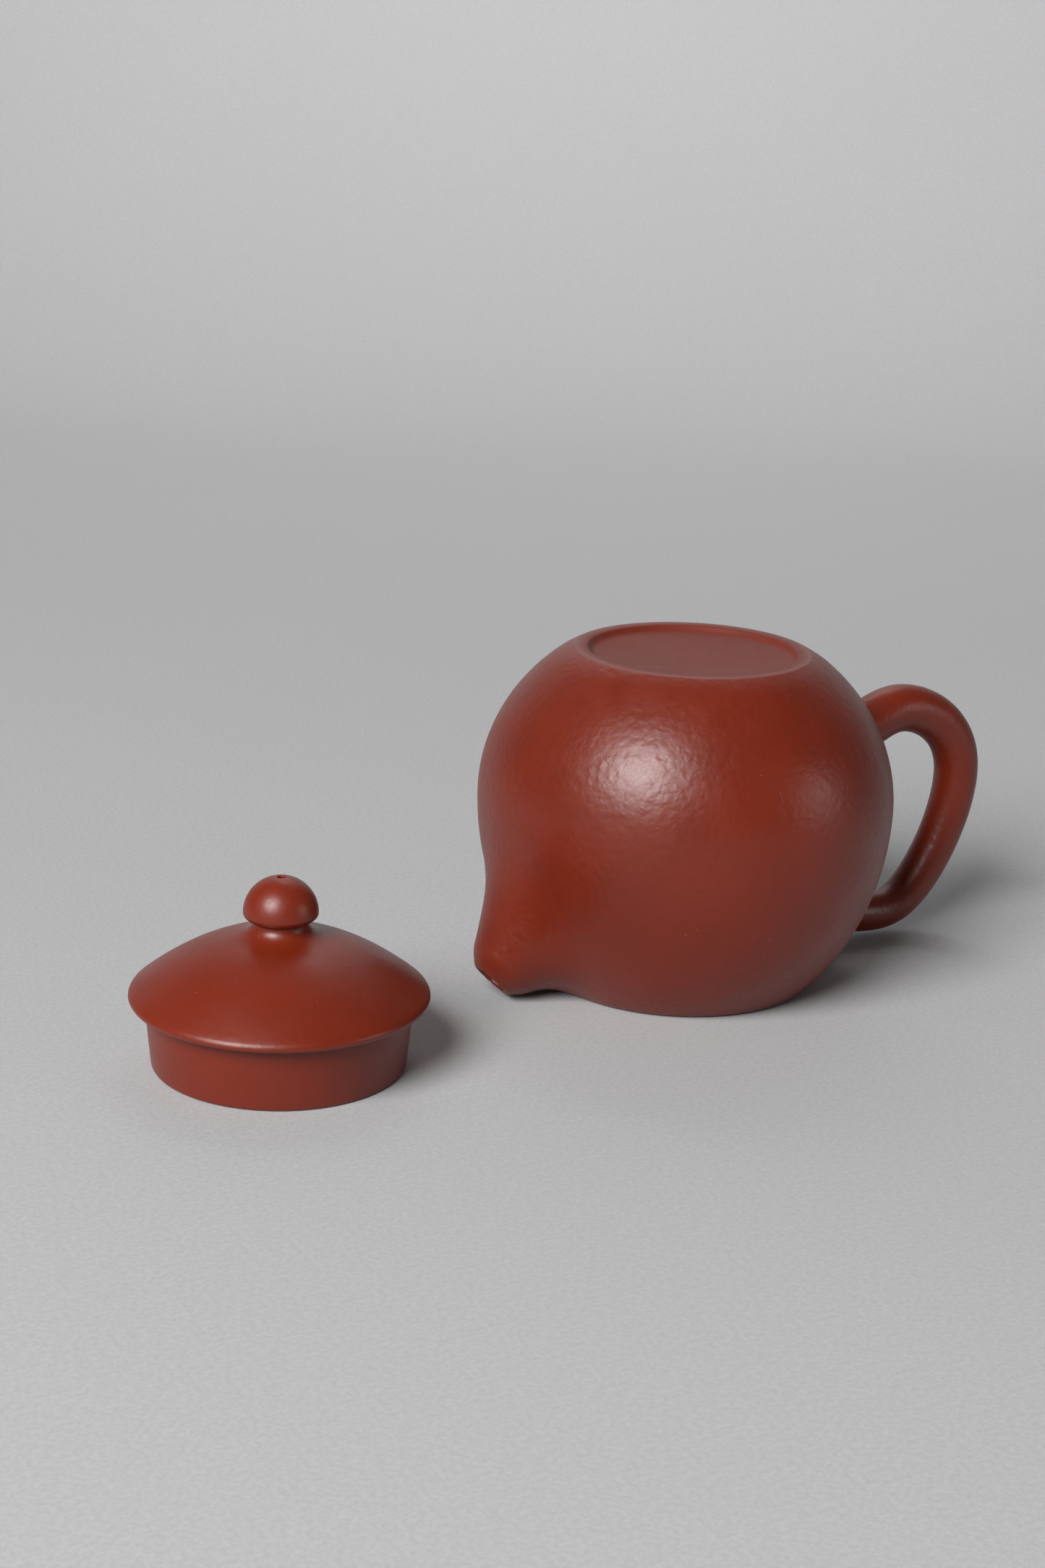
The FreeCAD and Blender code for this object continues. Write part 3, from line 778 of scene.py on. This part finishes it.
class TEAPOT_OT_base(Operator):
    """Turn the base: foot ring, step and pressed-in dish"""
    bl_idname = "teapot.base"
    bl_label = "Base"

    # Softness of the foot ring's outer and inner edge and of the corner of the dish.
    FOOT_SOFT, STEP_SOFT, DISH_SOFT = 0.15, 0.4, 0.8

    def execute(self, context):
        sizes, lid, _ = settings()
        pot = PotClay(sizes)
        floor, seam, top = pot.floor_z, pot.base_seam_z, pot.body_h

        def inner(z):
            """Radius of the wall's inner skin at a height."""
            return (pot.belly_r - pot.wall) * math.sqrt(1 - ((z - pot.belly_z) / (pot.lower - pot.wall)) ** 2)

        start = math.asin((seam - pot.belly_z) / pot.lower)
        seam_r = pot.belly_r * math.cos(start)
        seam_rise = pot.lower / pot.belly_r / math.tan(start)
        run, climb = seam_r - pot.foot_r, top - seam

        def brow(u):
            """The wall turning over from the seam to the foot ring."""
            lean = seam_rise * u * (1 - u) ** 2 - pot.foot_rise * u * u * (1 - u)
            height = seam + climb * u * u * (3 - 2 * u) + run * lean
            return seam_r - run * u, height, self.FOOT_SOFT if u == 1 else 0.0

        foot_in = pot.foot_r - pot.foot_w
        step = foot_in - pot.step_run
        low = top - pot.dish_step
        dish = [(step * (1 - u), low - pot.dish_sag * (1 - (1 - u) ** 2), self.DISH_SOFT if u == 0 else 0.0)
                for u in np.linspace(0, 1, 40)]
        plug = [(inner(z), z, 0.0) for z in np.linspace(floor, seam, 8)]
        corners = [(0.0, floor, 0.0)] + plug + [brow(u) for u in np.linspace(0, 1, 24)]
        corners += [(foot_in, top, self.STEP_SOFT)] + dish
        finish = clay_material("base_finish", 1.0, 0.5, (pot.foot_r - 0.5 * pot.foot_w) * MM)
        base = turned_piece("pot_base", corners, POT_AXIS, finish, 5, lid.steps, 0.0)
        dress(base, "pot", "base_disc")
        return {"FINISHED"}


class TEAPOT_OT_lid(Operator):
    """Turn the lid: domed plate, skirt and knob"""
    bl_idname = "teapot.lid"
    bl_label = "Lid"

    # Softness of edges: under the rim and over it, the skirt's bend, its foot outside and inside,
    # the knob's waist and the edge of its vent.
    UNDER_RIM, RIM, BEND, FOOT_OUT, FOOT_IN, WAIST, VENT = 0.35, 0.9, 0.7, 0.8, 0.5, 0.25, 0.3
    KNOB_STEPS = 128

    def execute(self, context):
        lid = settings()[1]
        m = {key: getattr(lid, key) / MM for key in lid.__annotations__ if key != "steps"}
        clay = clay_material("lid_finish", 0.4, 0.5)
        rim = m["skirt_h"] + m["rim_t"]
        crown = rim + m["dome_h"]
        in_r = m["skirt_r"] - m["skirt_t"]

        def dome(r):
            return rim + m["dome_h"] * (1 - (r / m["rim_r"]) ** 2)

        def hollow(r):
            return m["skirt_h"] + (m["rim_t"] + m["dome_h"] - m["plate_t"]) * (1 - (r / in_r) ** 2)

        vent = m["vent_r"]
        plate = [(vent, hollow(vent), 0.0)]
        plate += [(r, hollow(r), 0.0) for r in np.linspace(vent, in_r, 30)[1:]]
        plate += [(m["rim_r"] - 0.1, m["skirt_h"], self.UNDER_RIM), (m["rim_r"], dome(m["rim_r"]), self.RIM)]
        plate += [(r, dome(r), 0.0) for r in np.linspace(m["rim_r"], vent, 60)[1:]]
        plate += [plate[0]]
        plate_piece = turned_piece("lid_plate", plate, LID_AXIS, clay, 11, lid.steps)
        dress(plate_piece, "lid", "lid_disc")

        foot = m["skirt_r"] - m["skirt_taper"]
        skirt = [(m["skirt_r"], m["skirt_h"], 0.0),
                 (m["skirt_r"], m["skirt_h"] - m["skirt_fit_h"], self.BEND),
                 (foot, 0.0, self.FOOT_OUT), (foot - m["skirt_t"], 0.0, self.FOOT_IN),
                 (in_r, m["skirt_h"], 0.0), (m["skirt_r"], m["skirt_h"], 0.0)]
        skirt_piece = turned_piece("lid_skirt_ring", skirt, LID_AXIS, clay, 17, lid.steps)
        dress(skirt_piece, "lid", "lid_skirt")

        waist_z, wide_z = crown + m["knob_waist_h"], crown + m["knob_wide_h"]
        foot_r, waist_r = m["knob_foot_r"], m["knob_waist_r"]
        knob = [(r, dome(r), 0.0) for r in np.linspace(vent, foot_r, 10)]
        lean_z = dome(foot_r) + 2 * m["dome_h"] * foot_r / m["rim_r"] ** 2 * (foot_r - waist_r)
        knob += [(waist_r + (foot_r - waist_r) * (1 - u) ** 2,
                  dome(foot_r) * (1 - u) ** 2 + 2 * lean_z * u * (1 - u) + waist_z * u ** 2, 0.0)
                 for u in np.linspace(0, 1, 16)[1:-1]]
        knob += [(waist_r, waist_z, self.WAIST)]
        under = math.acos(waist_r / m["knob_r"])
        half = (wide_z - waist_z) / math.sin(under)
        knob += arc_points(-under, 0.0, wide_z, m["knob_r"], half, 14)[1:]
        last = math.acos(vent / m["knob_r"])
        knob += arc_points(0.0, last, wide_z, m["knob_r"], m["knob_top_h"], 40)[1:-1]
        knob += [(vent, wide_z + m["knob_top_h"] * math.sin(last), self.VENT), (vent, dome(vent), 0.0)]
        knob_piece = turned_piece("lid_knob", knob, LID_AXIS, clay, 23, self.KNOB_STEPS, 0.0)
        dress(knob_piece, "lid", "knob")
        return {"FINISHED"}


# The photograph looks along AWAY, with ACROSS to its right.
AWAY = Vector((0.5, math.sqrt(0.75), 0.0))
ACROSS = Vector((AWAY.y, -AWAY.x, 0.0))


class TEAPOT_OT_stage(Operator):
    """Lay the grey sweep, hang the lamps and set the camera"""
    bl_idname = "teapot.stage"
    bl_label = "Stage"

    def execute(self, context):
        self.sweep()
        self.lamps()
        self.camera()
        return {"FINISHED"}

    def sweep(self):
        """A sheet of grey paper: a flat floor that curves up into a wall behind."""
        front, depth, radius, wall, half = 1.6, 0.62, 0.55, 2.2, 2.4
        line = [(-front, 0.0), (0.0, 0.0)] + [(depth * i / 6, 0.0) for i in range(1, 7)]
        line += [(depth + radius * math.sin(a), radius * (1 - math.cos(a)))
                 for a in np.radians(np.arange(5, 91, 5))]
        line += [(depth + radius, radius + wall)]
        columns = np.linspace(-half, half, 9)
        spots = [AWAY * d + ACROSS * c + Vector((0, 0, h)) for d, h in line for c in columns]
        n = len(columns)
        faces = [(i * n + j, i * n + j + 1, (i + 1) * n + j + 1, (i + 1) * n + j)
                 for i in range(len(line) - 1) for j in range(n - 1)]
        mesh = bpy.data.meshes.new("grey_sweep")
        mesh.from_pydata(spots, [], faces)
        if mesh.polygons[0].normal.z < 0:
            mesh.flip_normals()
        mesh.shade_smooth()
        mesh.materials.append(sweep_material())
        make_object("grey_sweep", mesh)

    def lamps(self):
        """Round lamps, each by compass angle, angle above the table, distance, width and power."""
        target = Vector((0.0, 0.0, 0.03))

        def lamp(name, azimuth, height, far, size, power, aim=target):
            light = bpy.data.lights.new(name, "AREA")
            light.shape, light.size, light.energy = "DISK", size, power
            a, e = math.radians(azimuth), math.radians(height)
            spot = target + far * Vector((math.cos(a) * math.cos(e), math.sin(a) * math.cos(e), math.sin(e)))
            holder = bpy.data.objects.new(name, light)
            holder.location = spot
            holder.rotation_euler = (aim - spot).to_track_quat("-Z", "Y").to_euler()
            bpy.context.scene.collection.objects.link(holder)

        lamp("key_lamp", -152, 36, 1.6, 0.95, 37.0)
        lamp("right_fill", -45, 12, 1.2, 0.40, 1.25)
        lamp("wall_wash", 60, 52, 1.35, 0.9, 7.2, aim=Vector((0.75, 0.925, 0.72)))
        lamp("back_fill", 75, 28, 1.7, 1.2, 6.0)
        world = bpy.data.worlds.new("studio_air")
        world.use_nodes = True
        nodes, links = world.node_tree.nodes, world.node_tree.links
        air = nodes["Background"]
        air.inputs["Color"].default_value = (1.0, 1.0, 1.0, 1.0)
        air.inputs["Strength"].default_value = 0.08
        seen = nodes.new("ShaderNodeBackground")
        seen.inputs["Color"].default_value = settings()[2].sweep
        choice = nodes.new("ShaderNodeMixShader")
        links.new(nodes.new("ShaderNodeLightPath").outputs["Is Camera Ray"], choice.inputs[0])
        links.new(air.outputs[0], choice.inputs[1])
        links.new(seen.outputs[0], choice.inputs[2])
        links.new(choice.outputs[0], nodes["World Output"].inputs[0])
        bpy.context.scene.world = world
        bpy.context.scene.view_settings.view_transform = "Standard"

    def camera(self):
        """The photograph's viewpoint: a long lens, looking down by 17 degrees with a slight roll."""
        lens = bpy.data.cameras.new("photo_camera")
        # Focal length and height of the photograph, in its pixels.
        focal, tall = 3515.42, 2168
        lens.sensor_fit, lens.sensor_height, lens.sensor_width = "VERTICAL", 36.0, 24.0
        lens.lens = lens.sensor_height * focal / tall
        pitch, roll = math.radians(16.7048), math.radians(2.2567)
        up = AWAY * math.sin(pitch) + Vector((0, 0, math.cos(pitch)))
        right = math.cos(roll) * ACROSS + math.sin(roll) * up
        up = math.cos(roll) * up - math.sin(roll) * ACROSS
        back = right.cross(up)
        place = Vector((POT_AXIS[0] - 0.26209, -0.39127, 0.17756))
        turn = Matrix((right, up, back)).transposed()
        holder = bpy.data.objects.new("photo_camera", lens)
        holder.matrix_world = Matrix.Translation(place) @ turn.to_4x4()
        bpy.context.scene.collection.objects.link(holder)
        bpy.context.scene.camera = holder


class TEAPOT_PT_panel(Panel):
    """Sizes, finish and steps of the teapot"""
    bl_idname = "TEAPOT_PT_panel"
    bl_label = "Teapot"
    bl_space_type = "VIEW_3D"
    bl_region_type = "UI"
    bl_category = "Teapot"

    def draw(self, context):
        for group in settings():
            box = self.layout.box()
            for key in group.__annotations__:
                box.prop(group, key)
        for step in STEPS:
            self.layout.operator(step.bl_idname)


STEPS = (TEAPOT_OT_pot, TEAPOT_OT_base, TEAPOT_OT_lid, TEAPOT_OT_stage)
GROUPS = {"teapot_pot": PotSizes, "teapot_lid": LidSizes, "teapot_look": ClayLook}


def register():
    for group in GROUPS.values():
        bpy.utils.register_class(group)
    for key, group in GROUPS.items():
        setattr(bpy.types.Scene, key, PointerProperty(type=group))
    for step in STEPS + (TEAPOT_PT_panel,):
        bpy.utils.register_class(step)


def unregister():
    for step in reversed(STEPS + (TEAPOT_PT_panel,)):
        bpy.utils.unregister_class(step)
    for key in GROUPS:
        delattr(bpy.types.Scene, key)
    for group in reversed(list(GROUPS.values())):
        bpy.utils.unregister_class(group)


def main():
    register()
    bpy.ops.teapot.pot()
    bpy.ops.teapot.base()
    bpy.ops.teapot.lid()
    bpy.ops.teapot.stage()


if __name__ == "__main__":
    main()
